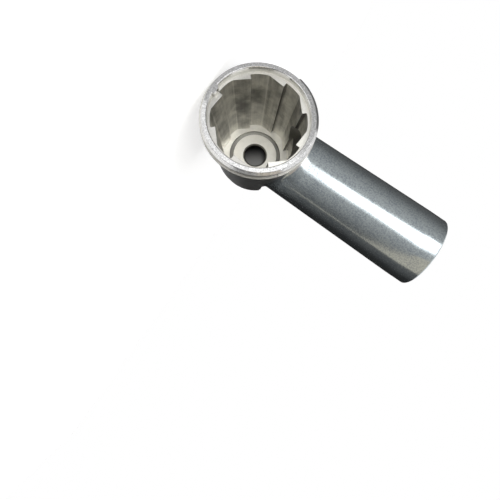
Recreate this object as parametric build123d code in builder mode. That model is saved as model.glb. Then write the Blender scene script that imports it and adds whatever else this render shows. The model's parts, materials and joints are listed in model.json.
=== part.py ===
import os
from math import cos, hypot, radians, sin

from build123d import *

# Auger housing of a domestic meat grinder: one aluminium casting, machined at the rim.
# Millimetres. +Y is the barrel axis, from the open rim to the spigot. +Z is the feed tube.
# The origin is on the barrel axis, in the plane of the spigot's shoulder.

# Barrel, along its axis: rim, thread, collar, a gap, the feed tube, a gap and the spigot
front_gap = 8.05
rear_gap = 12.05
rear_wall = 7.2
plate_seat_depth = 6.0
thread_zone = 10.4
collar_width = 1.7

# Rim and plate seat, as radii and steps outward from the plate
plate_seat_radius = 31.2
seat_ledge = 1.5
rim_wall = 2.9
edge_break = 0.4

# Ring thread, single start, right hand
thread_pitch = 6.0
thread_height = 1.65
thread_crest = 1.7
thread_flank = 1.0
thread_start_angle = -80.0
thread_start_depth = 0.6
collar_lip = 0.35

# Rifled bore: saw-tooth ribs that run straight from the plate seat to the floor
rib_count = 8
rib_step_front = 2.95
rib_step_rear = 2.5
rib_corner = 0.8
bore_taper = 4.7
groove_share = 0.5
cavity_wall = 3.2

# Rear wall: shaft bearing bore and the ring groove round it
shaft_bore_radius = 8.15
shaft_bore_chamfer = 1.2
ring_groove_width = 2.95
ring_groove_depth = 3.0
ring_groove_land = 2.7

# Spigot that the drive unit's socket takes
spigot_wall = 2.1
spigot_length = 12.0
spigot_shoulder = 1.6
spigot_chamfer = 0.8
notch_width = 9.4
notch_depth = 2.9
notch_corner = 1.2
notch_length = 25.5
notch_rise = 4.6
notch_angle = 38.5

# Plate locating lug in the seat, a little to one side of the point opposite the feed tube
lug_width = 5.6
lug_height = 1.6
lug_corner = 1.6
lug_angle = 177.0

# Feed tube
tube_height = 139.3
tube_base_radius = 23.15
tube_top_radius = 26.05
tube_wall = 2.5
tube_land = 14.0
tube_edge = 0.9
tube_blend = 3.0

# Places along the axis, worked out from the sizes above
rear_y = spigot_length
floor_y = rear_y - rear_wall
tube_y = -(rear_gap + tube_base_radius)
collar_y = tube_y - tube_base_radius - front_gap
rim_y = collar_y - thread_zone
seat_y = rim_y + plate_seat_depth

# Radii worked out from the plate outward and inward
lip_radius = plate_seat_radius + rim_wall
crest_radius = lip_radius + thread_height
groove_front = plate_seat_radius - seat_ledge
groove_rear = groove_front - bore_taper
tip_rear = groove_rear - rib_step_rear
barrel_radius = groove_front + cavity_wall
spigot_radius = groove_rear + spigot_wall
ring_outer = tip_rear - ring_groove_land
ring_inner = ring_outer - ring_groove_width


def on_circle(radius, angle):
    """Point of a section across the barrel, the angle counted clockwise from the tube."""
    return (radius * sin(radians(angle)), radius * cos(radians(angle)))


def section_plane(y):
    """Plane across the barrel at y, with local x as X and local y as Z."""
    return Plane(origin=(0, y, 0), x_dir=(1, 0, 0), z_dir=(0, -1, 0))


# Plane along the barrel through the feed tube's axis, with local x as Y and local y as Z
tube_plane = Plane(origin=(0, tube_y, 0), x_dir=(0, 1, 0), z_dir=(1, 0, 0))


def rifled_outline(groove, step):
    """Saw-tooth outline: arc in the groove, straight ramp to the tip, radial step out."""
    pitch = 360 / rib_count
    for k in range(rib_count):
        start = k * pitch
        end = start + groove_share * pitch
        ThreePointArc(
            on_circle(groove, start),
            on_circle(groove, (start + end) / 2),
            on_circle(groove, end),
        )
        tip = on_circle(groove - step, start + pitch)
        Polyline(on_circle(groove, end), tip, on_circle(groove, start + pitch))


def step_corners(outline, groove):
    """Corners of a rifled outline where the grooves meet the radial steps."""
    steps = [on_circle(groove, k * 360 / rib_count) for k in range(rib_count)]
    return [v for v in outline.vertices() if min(hypot(v.X - x, v.Y - y) for x, y in steps) < 0.01]


def eased_edge(radius, inset):
    """Edge of the tube's mouth, rounded in three facets from its wall at radius to its end."""
    turns = [radians(angle) for angle in (0, 30, 60, 90)]
    depth = abs(inset)
    return [(radius + inset * (1 - cos(t)), tube_height - depth * (1 - sin(t))) for t in turns]


def low_on_tube(edge):
    """Whether an edge runs round the tube's foot, above the barrel axis."""
    box = edge.bounding_box()
    return 0 < box.min.Z and box.max.Z < tube_height / 2


# Coarse ring thread: one trapezoidal ridge swept round the lip until it meets the collar,
# then turned off in front of the rim and along the lead-in chamfer
with BuildPart() as thread:
    root = thread_crest / 2 + thread_flank
    ridge_path = Helix(
        pitch=thread_pitch,
        height=thread_zone - thread_start_depth - root,
        radius=lip_radius,
        center=(0, rim_y + thread_start_depth, 0),
        direction=(0, 1, 0),
    )
    with BuildSketch(Plane(origin=ridge_path @ 0, x_dir=(0, 0, 1), z_dir=ridge_path % 0)):
        with BuildLine():
            Polyline(
                (-0.5, -root),
                (0, -root),
                (thread_height, -thread_crest / 2),
                (thread_height, thread_crest / 2),
                (0, root),
                (-0.5, root),
                close=True,
            )
        make_face()
    sweep(path=ridge_path, is_frenet=True)
    with BuildSketch(Plane.XY):
        with BuildLine():
            Polyline(
                (lip_radius - 2, rim_y),
                (lip_radius, rim_y),
                (crest_radius + 1, rim_y + thread_height + 1),
                (crest_radius + 1, rim_y - thread_pitch),
                (lip_radius - 2, rim_y - thread_pitch),
                close=True,
            )
        make_face()
    revolve(axis=Axis.Y, mode=Mode.SUBTRACT)

with BuildPart() as auger_housing:
    # Barrel, collar and spigot as one turned body
    with BuildSketch(Plane.XY):
        with BuildLine():
            Polyline(
                (0, rim_y),
                (lip_radius, rim_y),
                (lip_radius, collar_y - collar_width),
                (crest_radius + collar_lip, collar_y - collar_width),
                (crest_radius + collar_lip, collar_y),
                (barrel_radius, collar_y),
                (spigot_radius + spigot_shoulder, 0),
                (spigot_radius, 0),
                (spigot_radius, rear_y - spigot_chamfer),
                (spigot_radius - spigot_chamfer, rear_y),
                (0, rear_y),
                close=True,
            )
        make_face()
    revolve(axis=Axis.Y)

    # Feed tube, flaring to a straight land at its mouth, blended into the barrel
    with BuildSketch(tube_plane):
        with BuildLine():
            Polyline(
                (0, 0),
                (tube_base_radius, 0),
                (tube_top_radius, tube_height - tube_land),
                *eased_edge(tube_top_radius, -tube_edge),
                (0, tube_height),
                close=True,
            )
        make_face()
    barrel_edges = auger_housing.edges()
    revolve(axis=Axis((0, tube_y, 0), (0, 0, 1)))
    tube_edges = [edge for edge in auger_housing.edges() if edge not in barrel_edges]
    saddle = [edge for edge in tube_edges if low_on_tube(edge)]
    chamfer(saddle, length=tube_blend)
    foot_edges = [edge for edge in auger_housing.edges() if edge not in barrel_edges + tube_edges]
    chamfer([edge for edge in foot_edges if low_on_tube(edge)], length=tube_blend / 3)

    # Plate seat: a turned recess with a broken edge, and the rifled bore down to the floor
    with BuildSketch(Plane.XY):
        with BuildLine():
            Polyline(
                (0, rim_y),
                (plate_seat_radius + edge_break, rim_y),
                (plate_seat_radius, rim_y + edge_break),
                (plate_seat_radius, seat_y),
                (0, seat_y),
                close=True,
            )
        make_face()
    revolve(axis=Axis.Y, mode=Mode.SUBTRACT)
    with BuildSketch(section_plane(seat_y)) as seat_outline:
        with BuildLine():
            rifled_outline(groove_front, rib_step_front)
        make_face()
        fillet(step_corners(seat_outline, groove_front), radius=rib_corner)
    with BuildSketch(section_plane(floor_y)) as floor_outline:
        with BuildLine():
            rifled_outline(groove_rear, rib_step_rear)
        make_face()
        fillet(step_corners(floor_outline, groove_rear), radius=rib_corner)
    loft(ruled=True, mode=Mode.SUBTRACT)

    # Feed opening: the tube's bore, down to the barrel axis
    with BuildSketch(tube_plane):
        with BuildLine():
            Polyline(
                (0, 0),
                (tube_base_radius - tube_wall, 0),
                *eased_edge(tube_top_radius - tube_wall, tube_edge),
                (0, tube_height),
                close=True,
            )
        make_face()
    revolve(axis=Axis((0, tube_y, 0), (0, 0, 1)), mode=Mode.SUBTRACT)

    # Ring groove in the floor, and the bearing bore with both its mouths chamfered
    with BuildSketch(Plane.XY):
        with BuildLine():
            Polyline(
                (ring_inner, floor_y),
                (ring_outer, floor_y),
                (ring_outer, floor_y + ring_groove_depth),
                (ring_inner, floor_y + ring_groove_depth),
                close=True,
            )
        make_face()
    revolve(axis=Axis.Y, mode=Mode.SUBTRACT)
    with BuildSketch(Plane.XY):
        with BuildLine():
            Polyline(
                (0, floor_y),
                (shaft_bore_radius + shaft_bore_chamfer, floor_y),
                (shaft_bore_radius, floor_y + shaft_bore_chamfer),
                (shaft_bore_radius, rear_y - shaft_bore_chamfer),
                (shaft_bore_radius + shaft_bore_chamfer, rear_y),
                (0, rear_y),
                close=True,
            )
        make_face()
    revolve(axis=Axis.Y, mode=Mode.SUBTRACT)

    # Ring thread on the lip
    add(thread.part, rotation=(0, thread_start_angle, 0))

    # Locating lug across the seat wall, flush with the rim, with a rounded tip
    lug_root = plate_seat_radius + rim_wall / 2
    lug_length = rim_wall + 2 * lug_height
    with BuildSketch(section_plane(seat_y)):
        with Locations(on_circle(lug_root, lug_angle)):
            RectangleRounded(lug_width, lug_length, lug_corner, rotation=-lug_angle)
        Circle(lug_root, mode=Mode.INTERSECT)
    extrude(amount=plate_seat_depth)

    # Locating notch in the spigot, open to the rear, its bottom rising until it nearly runs
    # out on the barrel
    for y, centre in ((rear_y, spigot_radius), (rear_y - notch_length, spigot_radius + notch_rise)):
        with BuildSketch(section_plane(y)):
            with Locations(on_circle(centre, notch_angle)):
                RectangleRounded(notch_width, 2 * notch_depth, notch_corner, rotation=-notch_angle)
    loft(ruled=True, mode=Mode.SUBTRACT)

auger_housing.part.label = "auger_housing"
os.makedirs("parts", exist_ok=True)
export_step(auger_housing.part, "parts/auger_housing.step")
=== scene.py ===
"""Looks of a meat grinder's auger housing: one aluminium casting, turned at its rim and floor,
rifled and cast inside, polished outside. Metres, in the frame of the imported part: +Y runs from
the open rim to the spigot, +Z up the feed tube, origin on the barrel axis."""

import json
from math import cos, radians, sin

import bmesh
import bpy
import numpy as np
from mathutils import Matrix, Vector


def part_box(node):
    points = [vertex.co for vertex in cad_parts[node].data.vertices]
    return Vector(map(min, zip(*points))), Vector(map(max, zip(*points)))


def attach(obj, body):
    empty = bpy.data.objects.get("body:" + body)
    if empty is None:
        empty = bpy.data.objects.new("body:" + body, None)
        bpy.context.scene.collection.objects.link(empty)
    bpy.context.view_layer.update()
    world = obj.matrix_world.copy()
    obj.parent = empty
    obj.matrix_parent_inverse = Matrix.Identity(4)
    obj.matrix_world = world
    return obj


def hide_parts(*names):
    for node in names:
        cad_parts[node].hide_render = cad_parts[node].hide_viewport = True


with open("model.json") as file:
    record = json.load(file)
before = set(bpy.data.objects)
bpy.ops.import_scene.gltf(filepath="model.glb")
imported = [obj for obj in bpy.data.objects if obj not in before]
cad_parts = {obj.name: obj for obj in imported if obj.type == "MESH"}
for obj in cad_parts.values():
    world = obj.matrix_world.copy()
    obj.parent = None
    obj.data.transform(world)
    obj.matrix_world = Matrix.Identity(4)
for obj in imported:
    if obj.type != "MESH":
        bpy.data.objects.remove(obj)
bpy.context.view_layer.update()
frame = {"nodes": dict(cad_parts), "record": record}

MM = 0.001

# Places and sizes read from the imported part: its box and the mounts of its record
low_corner, high_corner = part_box("auger_housing")
mounts = {mount["name"]: mount for mount in frame["record"]["mounts"]}
bearing = mounts["shaft_bore"]
feed_mouth = mounts["feed_mouth"]
rim_y = low_corner.y
rear_y = high_corner.y
tube_top = high_corner.z
seat_y = mounts["plate_seat"]["pos_m"][1]
tube_y = feed_mouth["pos_m"][1]
tube_radius = feed_mouth["dims"]["r_mm"] * MM
bearing_radius = bearing["dims"]["r_mm"] * MM

# Sizes of the part that its record doesn't hold
bearing_chamfer = 1.2 * MM
plate_radius = 31.2 * MM
bore_front_radius = 29.7 * MM
bore_rear_radius = 25.0 * MM
ring_groove_radius = 19.8 * MM
rib_count = 8

# Places worked out from both: the bore's floor, and just behind the collar
floor_y = bearing["pos_m"][1] - bearing["dims"]["length_mm"] / 2 * MM - bearing_chamfer
collar_y = seat_y + 5.6 * MM

# The photograph's camera: where it looks from, how far off, and the lens
camera_azimuth = radians(10.955)
camera_elevation = radians(-0.922)
camera_roll = radians(124.177)
camera_target = Vector((29.68, -41.8, 46.31)) * MM
camera_distance = 267.9 * MM
camera_focal_px = 403.74
camera_centre_px = (290.0, 210.0)
picture_px = 500.0

# Edges that turn by more than this stay sharp
crease_angle = radians(32)

# The finishes' numbers on the mesh
TUBE, RIM, BORE, FLOOR, BARREL, DULL_SHADED = range(6)

# Turns round the barrel, in degrees, of the lit sides, where painted light makes the bore near its
# floor and the plate seat palest
lit_turn = 52
lit_seat_turn = -38

# The smudges in the rifling: where each is, how far it reaches across the barrel (twice as far
# along it), and how dark it is
smudges = [
    (Vector((-14.0, -37.0, -21.6)) * MM, 9 * MM, 0.35),
    (Vector((-22.9, -43.0, -16.0)) * MM, 8 * MM, 0.40),
    (Vector((12.7, -62.0, -26.1)) * MM, 7 * MM, 0.50),
    (Vector((-25.4, -30.0, 2.0)) * MM, 7 * MM, 0.70),
]

# The curtain's distance, the height of its foot and head, and its brightness by the angle from
# its light side
curtain_radius = 1.5
curtain_foot = -0.8
curtain_head = 1.6
curtain_levels = [
    (0, 0.56),
    (50, 0.37),
    (84, 0.17),
    (116, 0.10),
    (140, 0.035),
    (180, 0.024),
]

# Heights between which the softbox goes from dim to bright
softbox_dim_z = -20 * MM
softbox_bright_z = 90 * MM


class Value:
    """A node's output socket that takes part in sums: each operator adds one Math node."""

    def __init__(self, graph, socket):
        self.graph = graph
        self.socket = socket

    def math(self, operation, *others):
        inputs = dict(enumerate((self, *others)))
        return self.graph.add("ShaderNodeMath", {"operation": operation}, inputs)

    def __add__(self, other):
        return self.math("ADD", other)

    def __sub__(self, other):
        return self.math("SUBTRACT", other)

    def __mul__(self, other):
        return self.math("MULTIPLY", other)

    def __truediv__(self, other):
        return self.math("DIVIDE", other)

    def __rsub__(self, other):
        return self.graph.add("ShaderNodeMath", {"operation": "SUBTRACT"}, {0: other, 1: self})

    __radd__ = __add__
    __rmul__ = __mul__


class Graph:
    """The node tree of a material or of the world, with one way to add a node."""

    def __init__(self, owner):
        owner.use_nodes = True
        self.tree = owner.node_tree
        self.tree.nodes.clear()

    def add(self, kind, settings=None, inputs=None, output=0):
        """Adds a node of that kind, gives it its settings, then its inputs' values or links."""
        node = self.tree.nodes.new(kind)
        for name, value in (settings or {}).items():
            if name == "stops":
                self.set_stops(node.color_ramp, value)
            else:
                setattr(node, name, value)
        for name, value in (inputs or {}).items():
            if isinstance(value, Value):
                self.tree.links.new(value.socket, node.inputs[name])
            else:
                node.inputs[name].default_value = value
        return Value(self, node.outputs[output]) if node.outputs else node

    def set_stops(self, ramp, stops):
        """Gives a colour ramp its stops, each a place and a colour."""
        while len(ramp.elements) < len(stops):
            ramp.elements.new(1.0)
        for element, (place, colour) in zip(ramp.elements, stops):
            element.position = place
            element.color = (*colour, 1.0)

    def place(self):
        """Object coordinates, as one vector."""
        return self.add("ShaderNodeTexCoord", output="Object")

    def parts(self, vector):
        """The x, y and z of a vector."""
        inputs = {"Vector": vector}
        return [self.add("ShaderNodeSeparateXYZ", inputs=inputs, output=axis) for axis in "XYZ"]

    def vector(self, x, y, z):
        return self.add("ShaderNodeCombineXYZ", inputs={"X": x, "Y": y, "Z": z})

    def noise(self, vector, scale, detail=3.0, roughness=0.5):
        inputs = {"Vector": vector, "Scale": scale, "Detail": detail, "Roughness": roughness}
        return self.add("ShaderNodeTexNoise", inputs=inputs, output="Fac")

    def fade(self, value, start, end, low=0.0, high=1.0):
        """Low up to start, high from end on, and an eased slope between."""
        names = ("Value", "From Min", "From Max", "To Min", "To Max")
        inputs = dict(zip(names, (value, start, end, low, high)))
        return self.add("ShaderNodeMapRange", {"interpolation_type": "SMOOTHSTEP"}, inputs)

    def mix(self, factor, first, second):
        """First where the factor is 0, second where it is 1. Colour sockets are 6 and 7."""
        inputs = {"Factor": factor, 6: first, 7: second}
        return self.add("ShaderNodeMix", {"data_type": "RGBA"}, inputs, output=2)

    def bump(self, height, distance, strength=1.0):
        inputs = {"Height": height, "Distance": distance, "Strength": strength}
        return self.add("ShaderNodeBump", inputs={**inputs, "Normal": self.soft_edges()})

    def soft_edges(self):
        """Normals rounded off over the last 0.3 mm before an edge."""
        return self.add("ShaderNodeBevel", {"samples": 4}, {"Radius": 0.3 * MM})

    def distance(self, vector, centre):
        inputs = {0: vector, 1: centre}
        return self.add("ShaderNodeVectorMath", {"operation": "DISTANCE"}, inputs, output="Value")

    def metal(self, colour, roughness, normal):
        inputs = {
            "Base Color": colour,
            "Metallic": 1.0,
            "Roughness": roughness,
            "Normal": normal,
        }
        shader = self.add("ShaderNodeBsdfPrincipled", inputs=inputs)
        self.add("ShaderNodeOutputMaterial", inputs={"Surface": shader})

    def glow(self, colour):
        """A surface that gives off that colour and takes no light."""
        shader = self.add("ShaderNodeEmission", inputs={"Color": colour, "Strength": 1.0})
        self.add("ShaderNodeOutputMaterial", inputs={"Surface": shader})


def from_axis(x, z):
    """Distance from the barrel axis: the root of x squared plus z squared."""
    return (x * x + z * z).math("SQRT")


def along_turn(x, z, turn):
    """How far a place lies out along a turn round the barrel, in degrees clockwise from the
    feed tube as seen from the open rim: x times its sine plus z times its cosine."""
    return sin(radians(turn)) * x + cos(radians(turn)) * z


def grey(level):
    """An opaque grey."""
    return (level, level, level, 1.0)


def beige(level):
    """An opaque grey with the yellowish tinge of the casting's inside."""
    return (1.02 * level, level, 0.92 * level, 1.0)


def polished_tube():
    """Polished casting: a bluish mirror with dark specks and faint lengthwise wipe marks."""
    material = bpy.data.materials.new("polished_aluminium")
    graph = Graph(material)
    vector = graph.place()
    x, y, z = graph.parts(vector)
    specks = graph.noise(vector, 950, 2, 0.7)
    cloud = graph.noise(vector, 90, 3, 0.6)
    wiped = graph.noise(graph.vector(x * 700, y * 700, z * 20), 1.0, 2)
    tone = graph.fade(specks + 0.3 * cloud, 0.44, 0.78)
    colour = graph.mix(tone, (0.41, 0.46, 0.50, 1), (0.60, 0.66, 0.67, 1))
    roughness = 0.10 + 0.08 * specks + 0.04 * cloud
    normal = graph.bump(specks + 0.3 * wiped, 0.015 * MM, 0.4)
    graph.metal(colour, roughness, normal)
    return material


def turned_rim():
    """Turned rim and thread: pale, with fine rings round the barrel axis and a fine grain. The
    plate recess inside the rim is beige and duller, and its seat is paler on its lit side with
    painted light."""
    material = bpy.data.materials.new("turned_aluminium")
    graph = Graph(material)
    vector = graph.place()
    x, y, z = graph.parts(vector)
    radius = from_axis(x, z)
    rings = graph.noise(graph.vector(radius * 3000, y * 3000, 0.0), 1.0, 2)
    grain = graph.noise(vector, 1000, 2, 0.7)
    cloud = graph.noise(vector, 120, 3, 0.6)
    tone = graph.fade(grain + 0.4 * cloud, 0.52, 0.88)
    colour = graph.mix(tone, grey(0.57), grey(0.80))
    ledge = graph.fade(y, rim_y + 1 * MM, rim_y + 4 * MM)
    seat = graph.fade(y, seat_y - 0.4 * MM, seat_y - 0.1 * MM)
    seat = seat * graph.fade(radius, plate_radius + 0.3 * MM, plate_radius)
    # Painted light: the seat is paler towards its lit side.
    seat = seat * graph.fade(along_turn(x, z, lit_seat_turn), -9 * MM, 4 * MM)
    colour = graph.mix(0.7 * ledge, colour, graph.mix(seat, beige(0.60), beige(0.97)))
    roughness = 0.12 + 0.10 * rings + 0.22 * ledge
    normal = graph.bump(rings + grain, 0.02 * MM, 0.5)
    graph.metal(colour, roughness, normal)
    return material


def cast_bore():
    """Cast rifling: grey brown, paler in the grooves, pale along the edges of the ribs with wear
    and painted highlights, streaked along the barrel, and smudged. Painted shade darkens each rib's
    step corner, and painted light makes the bore paler and smoother near the floor on its lit side."""
    material = bpy.data.materials.new("cast_aluminium_inside")
    graph = Graph(material)
    vector = graph.place()
    x, y, z = graph.parts(vector)
    turn = x.math("ARCTAN2", z) / radians(360 / rib_count)
    across = turn.math("FRACT")
    groove = graph.fade(across, 0.53, 0.49)
    # Wear and painted highlights: pale lines where each groove meets its ramp and at each rib's
    # step edge.
    wear_and_highlight = graph.fade((across - 0.5).math("ABSOLUTE"), 0.03, 0.005, 0.0, 0.8)
    wear_and_highlight = wear_and_highlight + graph.fade(across, 0.95, 1.0, 0.0, 0.5)
    streaks = graph.noise(graph.vector(turn * 9, y * 25, 0.0), 1.0, 3, 0.6)
    stains = graph.noise(vector, 110, 4, 0.6)
    grain = graph.noise(vector, 900, 3, 0.6)
    # Painted light: the bore gets paler near its floor, most on its lit side, which is also made
    # smoother.
    near_floor = graph.fade(y, floor_y - 26 * MM, floor_y)
    lit_side = graph.fade(along_turn(x, z, lit_turn), -22 * MM, -4 * MM)
    # Painted shade in the corner just past each rib's step; the smudges listed above then add
    # darker marks.
    smudge_and_step_shade = graph.fade(across, 0.0, 0.07, 0.55)
    for centre, reach, level in smudges:
        squeezed = Vector((centre.x, centre.y / 2, centre.z))
        from_centre = graph.distance(graph.vector(x, y * 0.5, z), squeezed)
        blurred = from_centre + 6 * MM * (stains - 0.5)
        smudge_and_step_shade = smudge_and_step_shade * graph.fade(blurred, 0.1 * reach, reach, level)
    light = 0.39 + 0.24 * groove + 0.45 * wear_and_highlight + 1.0 * (streaks - 0.5) + 1.9 * (stains - 0.5)
    light = light + near_floor * (0.15 + 1.1 * lit_side)
    colour = graph.mix(light.math("MAXIMUM", 0.0), beige(0.38), beige(0.88))
    colour = graph.mix(smudge_and_step_shade, grey(0.02), colour)
    normal = graph.bump(grain + streaks, 0.05 * MM, 0.6)
    graph.metal(colour, 0.40 + 0.2 * stains - 0.28 * near_floor * lit_side, normal)
    return material


def turned_floor():
    """Turned floor: pale and warm, with rings round the bearing bore and a ring groove darkened
    with painted shade, most on the lit side of the bore."""
    material = bpy.data.materials.new("turned_aluminium_floor")
    graph = Graph(material)
    vector = graph.place()
    x, y, z = graph.parts(vector)
    rings = graph.noise(graph.vector(from_axis(x, z) * 2500, y * 2500, 0.0), 1.0, 2)
    stains = graph.noise(vector, 160, 4, 0.6)
    tone = graph.fade(0.5 * rings + 0.5 * stains, 0.35, 0.6)
    colour = graph.mix(tone, beige(0.86), beige(0.97))
    # Painted shade in the ring groove, darkest on the lit side of the bore.
    groove_shade = graph.fade(along_turn(x, z, lit_turn), -19 * MM, -6 * MM)
    groove = graph.mix(groove_shade, beige(0.52), beige(0.27))
    colour = graph.mix(graph.fade(y, floor_y + 0.4 * MM, floor_y + 0.8 * MM), colour, groove)
    normal = graph.bump(rings, 0.03 * MM, 0.5)
    graph.metal(colour, 0.35 + 0.15 * rings, normal)
    return material


def shaded_dull_casting():
    """Inside of the tube, steps of the ribs and bearing bore: dull, and darkened with painted
    shade. The bearing bore is darkest, near black with painted shade, and its chamfer is paler than
    both."""
    material = bpy.data.materials.new("shaded_dull_aluminium")
    graph = Graph(material)
    vector = graph.place()
    x, y, z = graph.parts(vector)
    radius = from_axis(x, z)
    mouth_radius = bearing_radius + bearing_chamfer
    stains = graph.noise(vector, 160, 3, 0.6)
    colour = graph.mix(stains, beige(0.16), beige(0.32))
    on_chamfer = graph.fade(radius, bearing_radius + 0.03 * MM, bearing_radius + 0.25 * MM)
    # Painted shade: the bearing bore's wall near black, its chamfer paler.
    bearing_colour = graph.mix(on_chamfer, grey(0.03), beige(0.42))
    past_mouth = graph.fade(radius, mouth_radius + 0.05 * MM, mouth_radius + 0.45 * MM)
    colour = graph.mix(past_mouth, bearing_colour, colour)
    normal = graph.bump(stains, 0.04 * MM, 0.4)
    graph.metal(colour, 0.5 + 0.1 * stains, normal)
    return material


def cast_barrel():
    """Outside of the barrel and the spigot: satin casting."""
    material = bpy.data.materials.new("satin_aluminium")
    graph = Graph(material)
    vector = graph.place()
    grain = graph.noise(vector, 700, 4, 0.65)
    cloud = graph.noise(vector, 50, 3, 0.6)
    colour = graph.mix(cloud, grey(0.50), grey(0.62))
    normal = graph.bump(grain, 0.04 * MM, 0.5)
    graph.metal(colour, 0.24 + 0.1 * cloud, normal)
    return material


def merged_copy(node, name):
    """A copy of the part's surface with its loose triangles merged, smooth across the facets
    of round walls and sharp at the edges."""
    mesh = bpy.data.meshes.new(name)
    shell = bmesh.new()
    shell.from_mesh(node.data)
    bmesh.ops.remove_doubles(shell, verts=shell.verts, dist=0.002 * MM)
    shell.to_mesh(mesh)
    shell.free()
    custom = mesh.attributes.get("custom_normal")
    if custom:
        mesh.attributes.remove(custom)
    mesh.polygons.foreach_set("use_smooth", np.ones(len(mesh.polygons), bool))
    mesh.set_sharp_from_angle(angle=crease_angle)
    return mesh


def finish_of_each_face(mesh):
    """For each face, the number of its finish, told from where it is and which way it looks."""
    count = len(mesh.polygons)
    centre = np.empty(3 * count)
    normal = np.empty(3 * count)
    mesh.polygons.foreach_get("center", centre)
    mesh.polygons.foreach_get("normal", normal)
    x, y, z = centre.reshape(-1, 3).T
    nx, ny, nz = normal.reshape(-1, 3).T
    radius = np.hypot(x, z)
    across_barrel = abs(nx * z - nz * x) / radius
    from_tube_axis = np.hypot(x, y - tube_y)
    off_tube = (nx * x + ny * (y - tube_y)) / np.maximum(from_tube_axis, 1e-6)
    near_tube = (z > 5 * MM) & (from_tube_axis < tube_radius + 0.35 * MM) & (abs(nz) < 0.3)
    on_tube = near_tube & (z > 20 * MM) & (off_tube > 0.6)
    on_tube |= z > tube_top - 2 * MM
    in_tube = near_tube & (off_tube < -0.8) & (from_tube_axis < tube_radius - 2.05 * MM)
    bore_radius = np.interp(y, (seat_y, floor_y), (bore_front_radius, bore_rear_radius))
    within_bore = radius < bore_radius + 0.4 * MM
    in_bore = (y > seat_y + 0.1 * MM) & (y < floor_y - 0.1 * MM) & within_bore
    on_floor = (abs(y - floor_y) < 0.1 * MM) & within_bore
    past_floor = (y > floor_y + 0.1 * MM) & (y < rear_y - 0.1 * MM)
    in_ring_groove = past_floor & (radius < ring_groove_radius + 0.2 * MM)
    in_bearing = past_floor & (radius < bearing_radius + bearing_chamfer)
    finish = np.full(count, BARREL)
    finish[y < collar_y] = RIM
    finish[in_bore] = BORE
    finish[in_bore & (across_barrel > 0.8)] = DULL_SHADED
    finish[on_floor | in_ring_groove] = FLOOR
    finish[in_bearing] = DULL_SHADED
    finish[on_tube] = TUBE
    finish[in_tube] = DULL_SHADED
    return finish


def dress(node):
    """The shown housing: the merged surface of the part in its six finishes, added in the
    order of their numbers."""
    mesh = merged_copy(node, "housing_casting")
    finishes = (polished_tube, turned_rim, cast_bore, turned_floor, cast_barrel, shaded_dull_casting)
    for finish in finishes:
        mesh.materials.append(finish())
    mesh.polygons.foreach_set("material_index", finish_of_each_face(mesh).astype(np.int32))
    piece = bpy.data.objects.new("housing_casting", mesh)
    bpy.context.scene.collection.objects.link(piece)
    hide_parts("auger_housing")
    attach(piece, "root")


def direction(azimuth, elevation):
    """Unit vector towards an azimuth, counted from -Y towards +X, and an elevation."""
    level = cos(elevation)
    return Vector((sin(azimuth) * level, -cos(azimuth) * level, sin(elevation)))


def stand(name, points, faces, material, seen=True):
    """Puts a piece of the studio in place, and hides it from the camera unless it is seen."""
    mesh = bpy.data.meshes.new(name)
    mesh.from_pydata(points, [], faces)
    mesh.materials.append(material)
    piece = bpy.data.objects.new(name, mesh)
    piece.visible_camera = seen
    bpy.context.scene.collection.objects.link(piece)
    return piece


def curtain():
    """A grey curtain round the part, out of the camera's sight, for the polished metal to
    mirror: light beside the front softbox, dark behind the part, with a lighter hem."""
    material = bpy.data.materials.new("studio_curtain")
    graph = Graph(material)
    x, y, z = graph.parts(graph.place())
    light_side = direction(radians(-10), radians(4)) / curtain_radius
    towards = x * light_side.x + y * light_side.y + z * light_side.z
    stops = [(cos(radians(turn)) / 2 + 0.5, 3 * (level,)) for turn, level in curtain_levels]
    ramp = {"stops": stops[::-1]}
    shade = graph.add("ShaderNodeValToRGB", ramp, {"Fac": towards * 0.5 + 0.5})
    graph.glow(graph.mix(graph.fade(z, -200 * MM, -80 * MM), grey(0.5), shade))
    turn = np.radians(np.arange(0, 360, 5))
    ring = np.column_stack([np.sin(turn), np.cos(turn)]) * curtain_radius
    points = [(*place, height) for height in (curtain_foot, curtain_head) for place in ring]
    count = len(turn)
    faces = [(k, (k + 1) % count, (k + 1) % count + count, k + count) for k in range(count)]
    stand("studio_curtain", points, faces, material, seen=False)


def card(name, dim, bright, distance, corners):
    """A flat glowing card out of the camera's sight, dim below and bright above, its corners
    given by their azimuths and elevations in degrees as seen from the part."""
    material = bpy.data.materials.new(name)
    graph = Graph(material)
    height = graph.parts(graph.place())[2]
    graph.glow(graph.mix(graph.fade(height, softbox_dim_z, softbox_bright_z), dim, bright))
    towards = [direction(radians(azimuth), radians(elevation)) for azimuth, elevation in corners]
    points = [camera_target + distance * along for along in towards]
    stand(name, points, [tuple(range(len(points)))], material, seen=False)


def cards():
    """The front softbox, whose mirror image is the white band down the tube and the white of
    the rim, the dimmer flap at its +X side, which softens that side of the band, and a warm
    reflector at +X, the beige band near the tube's mouth."""
    flap_side = [(12, -26), (12, 4), (9, 9), (8, 14), (9, 18), (10, 21), (-2, 42)]
    far_side = [(-40, 42), (-33, 24), (-24.5, 14), (-20, 7), (-17, -3), (-17, -26)]
    card("front_softbox", grey(1.55), grey(2.6), 1.0, flap_side + far_side)
    flap = [(5, 42), (14, 21), (13, 14), (15, 9), (18, 4), (18, -26)]
    card("softbox_flap", grey(0.95), grey(0.95), 1.0, flap_side + flap)
    reflector = [(88, -3), (91, -3), (90, 16), (88, 22), (88, 40), (20, 45), (38, 23)]
    reflector += [(57, 18), (74, 14.5), (88, 12)]
    warm = (0.63, 0.57, 0.48, 1.0)
    card("reflector_card", warm, warm, 1.2, reflector)


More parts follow.
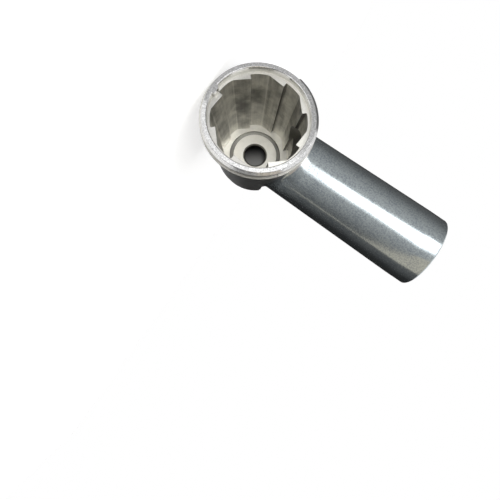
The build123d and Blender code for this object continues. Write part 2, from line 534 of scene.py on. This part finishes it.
def cloth(name, level, corners):
    """A cloth on the paper that only metal sees, in its mirror images, corners in mm."""
    material = bpy.data.materials.new(name)
    Graph(material).glow(grey(level))
    points = [(x * MM, y * MM, low_corner.z) for x, y in corners]
    piece = stand(name, points, [tuple(range(len(points)))], material, seen=False)
    piece.visible_diffuse = False
    piece.visible_shadow = False


def cloths():
    """A dark cloth behind the part for the barrel's flank to mirror, and a grey one in front
    at -X for the rim, which is white only where it mirrors the softbox or the paper at +X."""
    behind = [(18, -40), (70, -45), (90, 60), (160, 200), (430, 450), (700, 1200)]
    behind += [(50, 1200), (24, 200)]
    cloth("dark_cloth", 0.03, behind)
    cloth("grey_cloth", 0.6, [(7, -90), (-103, -450), (-450, -450), (-450, -78), (7, -78)])


def shaft_card():
    """A grey disc just behind the bearing bore, seen only through it, painted with the shade of a
    hollow: darker away from the lit side of the bore and across it, where the photograph shows a
    shaded hollow."""
    material = bpy.data.materials.new("dark_card")
    graph = Graph(material)
    x, y, z = graph.parts(graph.place())
    # Painted shade of the hollow behind the bearing bore.
    depth = graph.fade(along_turn(x, z, lit_turn), -8.5 * MM, 8 * MM)
    sideways = (along_turn(x, z, lit_turn - 90) + 1 * MM).math("ABSOLUTE")
    sides = graph.fade(sideways, 9 * MM, 5 * MM, 0.3)
    shade = graph.mix(depth * sides, grey(0.02), grey(0.58))
    paint = graph.add("ShaderNodeBsdfDiffuse", inputs={"Color": shade})
    clear = graph.add("ShaderNodeBsdfTransparent")
    from_behind = graph.add("ShaderNodeNewGeometry", output="Backfacing")
    mixed = graph.add("ShaderNodeMixShader", inputs={0: from_behind, 1: paint, 2: clear})
    graph.add("ShaderNodeOutputMaterial", inputs={"Surface": mixed})
    radius = bearing_radius + bearing_chamfer + 0.25 * MM
    turn = np.radians(np.arange(0, 360, 10))[::-1]
    points = [(radius * sin(t), rear_y + 0.1 * MM, radius * cos(t)) for t in turn]
    stand("shaft_card", points, [tuple(range(len(points)))], material)


def studio():
    """White all round, with a curtain, cards and cloths for the metal to mirror."""
    world = bpy.data.worlds.new("studio")
    bpy.context.scene.world = world
    graph = Graph(world)
    light = graph.add("ShaderNodeBackground", inputs={"Color": grey(1.0), "Strength": 1.0})
    graph.add("ShaderNodeOutputWorld", inputs={"Surface": light})
    curtain()
    cards()
    cloths()
    shaft_card()


def floor():
    """A sheet of white paper under the part, that shows the part's soft shadow."""
    material = bpy.data.materials.new("floor_paper")
    graph = Graph(material)
    paper = graph.add("ShaderNodeBsdfDiffuse", inputs={"Color": grey(0.8)})
    glow = graph.add("ShaderNodeEmission", inputs={"Color": grey(1.0), "Strength": 0.56})
    mixed = graph.add("ShaderNodeAddShader", inputs={0: paper, 1: glow})
    graph.add("ShaderNodeOutputMaterial", inputs={"Surface": mixed})
    side = 0.45
    level = low_corner.z - 0.5 * MM
    corners = [(-side, -side), (side, -side), (side, side), (-side, side)]
    stand("floor_paper", [(x, y, level) for x, y in corners], [(0, 1, 2, 3)], material)


def camera():
    """The photograph's camera, turned about its own line of sight by its roll."""
    back = direction(camera_azimuth, camera_elevation)
    level_right = (-back).cross(Vector((0, 0, 1))).normalized()
    level_up = level_right.cross(-back)
    right = cos(camera_roll) * level_right + sin(camera_roll) * level_up
    up = cos(camera_roll) * level_up - sin(camera_roll) * level_right
    lens = bpy.data.cameras.new("photo_camera")
    lens.sensor_width = 36.0
    lens.lens = camera_focal_px / picture_px * lens.sensor_width
    lens.shift_x = 0.5 - camera_centre_px[0] / picture_px
    lens.shift_y = camera_centre_px[1] / picture_px - 0.5
    lens.clip_start = 0.01
    holder = bpy.data.objects.new("photo_camera", lens)
    turned = Matrix((right, up, back)).transposed().to_4x4()
    holder.matrix_world = Matrix.Translation(camera_target + back * camera_distance) @ turned
    bpy.context.scene.collection.objects.link(holder)
    bpy.context.scene.camera = holder


camera()
studio()
floor()
dress(frame["nodes"]["auger_housing"])
bpy.context.scene.view_settings.view_transform = "Standard"
